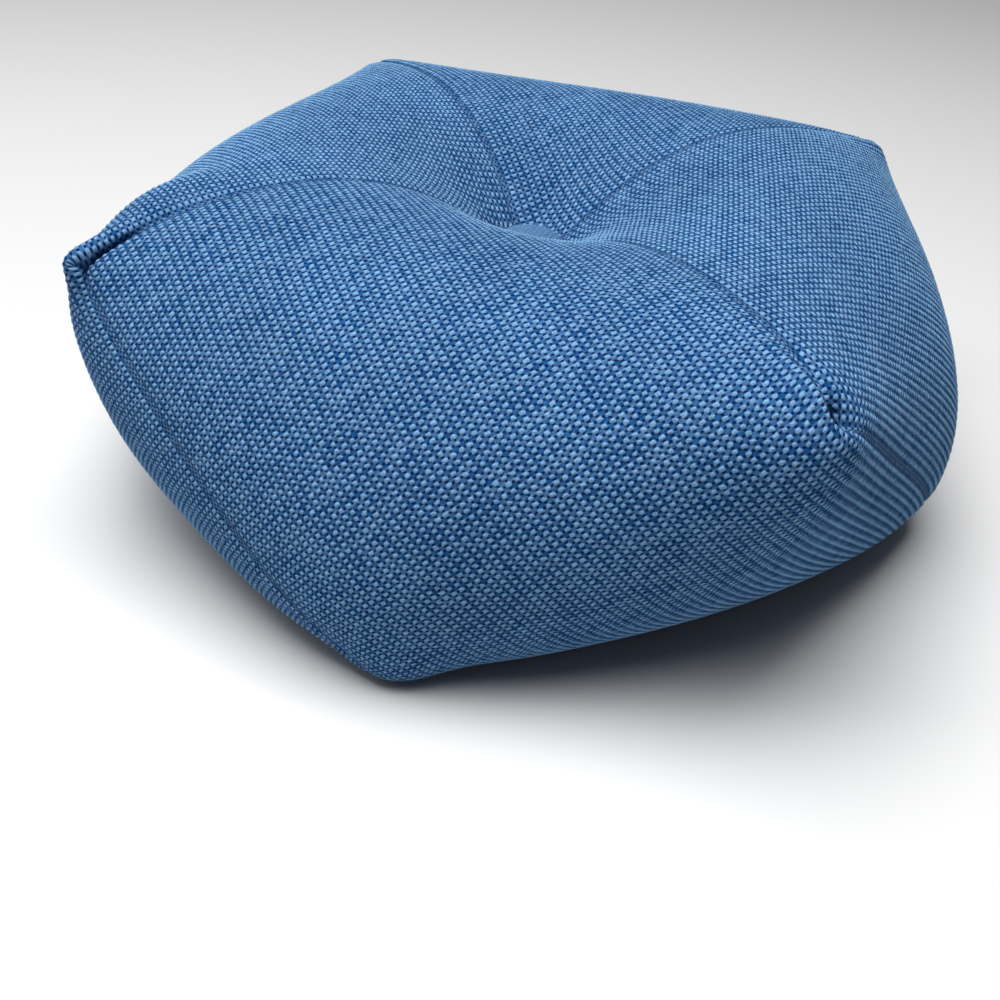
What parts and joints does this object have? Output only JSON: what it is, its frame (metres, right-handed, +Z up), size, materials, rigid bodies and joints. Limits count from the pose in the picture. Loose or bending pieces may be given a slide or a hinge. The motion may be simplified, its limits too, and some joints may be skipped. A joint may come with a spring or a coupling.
{
  "type": "square floor pouf",
  "caption": "Square stuffed floor pouf sewn pinwheel-wise from oblong woven panels, with pinched corners and a covered button in a central tuft.",
  "frame": {"origin": "middle of the footprint of the whole pouf, on the surface it rests on", "axes": "+Z up out of the tufted face; X and Y run along the sides of the top square; the panel that faces the picture's camera is on the -Y side"},
  "size_m": [0.4374, 0.4426, 0.1752],
  "materials": {
    "cover_cloth": "coarse two-tone plain weave, matt",
    "button_cloth": "the same cloth stretched over a button, matt"
  },
  "bodies": {
    "root": {"cushion": "cover_cloth", "button": "button_cloth"}
  },
  "joints": []
}
